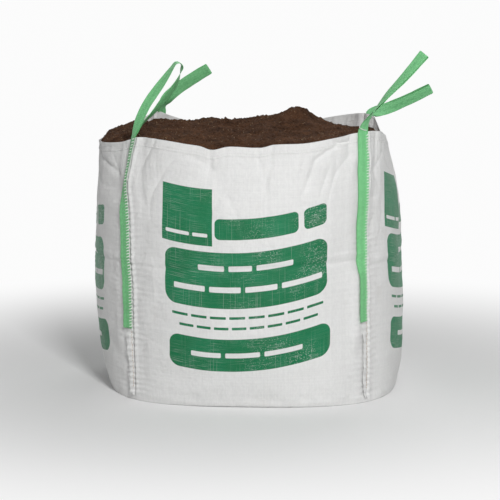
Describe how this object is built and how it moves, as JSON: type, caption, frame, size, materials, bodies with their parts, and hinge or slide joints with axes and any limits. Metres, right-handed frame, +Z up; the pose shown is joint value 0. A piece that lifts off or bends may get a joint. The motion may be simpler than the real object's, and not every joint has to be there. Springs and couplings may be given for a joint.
{
  "type": "compost bag",
  "caption": "Open-topped woven bulk bag filled with compost, with a green printed design and webbing lifting loops sewn up its corners.",
  "frame": {"origin": "middle of the base panel's underside, where the bag stands", "axes": "+Z up, -Y towards the printed front panel, +X towards the right panel"},
  "size_m": [1.3009, 1.1799, 1.2765],
  "materials": {
    "cloth": "white woven plastic tape cloth, slightly shiny",
    "ink": "green ink printed on the weave",
    "webbing": "light green woven webbing",
    "compost": "moist dark brown crumbs"
  },
  "bodies": {
    "root": {"base_panel": "cloth", "right_panel": "cloth", "right_print_square": "ink", "right_print_long_bar": "ink", "right_print_short_bar": "ink", "right_print_upper_field": "ink", "right_print_lower_field": "ink", "back_panel": "cloth", "back_print_square": "ink", "back_print_long_bar": "ink", "back_print_short_bar": "ink", "back_print_upper_field": "ink", "back_print_lower_field": "ink", "left_panel": "cloth", "left_print_square": "ink", "left_print_long_bar": "ink", "left_print_short_bar": "ink", "left_print_upper_field": "ink", "left_print_lower_field": "ink", "front_panel": "cloth", "front_print_square": "ink", "front_print_long_bar": "ink", "front_print_short_bar": "ink", "front_print_upper_field": "ink", "front_print_lower_field": "ink", "front_left_loop": "webbing", "front_right_loop": "webbing", "back_right_loop": "webbing", "back_left_loop": "webbing", "compost_fill": "compost"}
  },
  "joints": []
}
